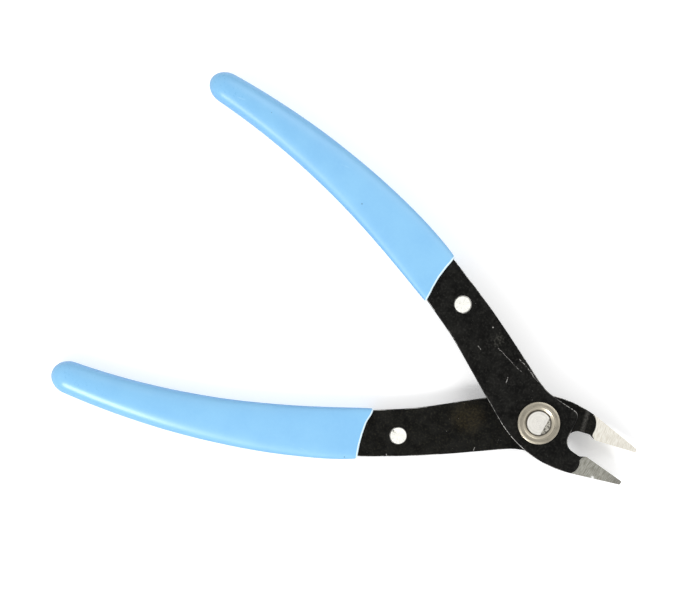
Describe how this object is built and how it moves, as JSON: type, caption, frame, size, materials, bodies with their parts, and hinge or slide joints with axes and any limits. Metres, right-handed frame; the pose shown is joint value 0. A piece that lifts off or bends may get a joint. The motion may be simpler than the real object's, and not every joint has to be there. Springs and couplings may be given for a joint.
{
  "type": "precision wire cutter and stripper",
  "caption": "Small stamped-steel wire cutter and stripper with bent flush-ground jaws, a riveted pivot, a hairpin return spring and curved dipped grips, standing open.",
  "frame": {"origin": "on the pivot axis, at the flat face under the pivot rivet's rear head", "axes": "+X from the pivot to the jaws along the middle line of the open tool, +Y to the front arm's handle, +Z along the pivot axis, out of the side with the washer"},
  "size_m": [0.1217, 0.0783, 0.0088],
  "materials": {
    "black_steel": "satin",
    "ground_steel": "brushed",
    "turned_steel": "brushed",
    "rivet_steel": "satin",
    "spring_wire": "satin",
    "grip_plastic": "satin"
  },
  "bodies": {
    "rear_half": {"rear_arm": "black_steel", "rear_grip": "grip_plastic", "pivot_rivet": "turned_steel", "pivot_washer": "turned_steel", "spring_hub": "turned_steel", "rear_handle_rivet": "rivet_steel", "return_spring": "spring_wire"},
    "front_half": {"front_arm": "black_steel", "front_grip": "grip_plastic", "front_handle_rivet": "rivet_steel", "spring_spacer": "turned_steel"}
  },
  "joints": [
    {"name": "pivot", "type": "hinge", "parent": "rear_half", "child": "front_half", "pos_m": [0, 0, 0.0061], "axis": [0, 0, 1], "range_deg": [0, 17.8], "stiffness_Nm_per_rad": 0.65, "deforming": ["return_spring"]}
  ]
}
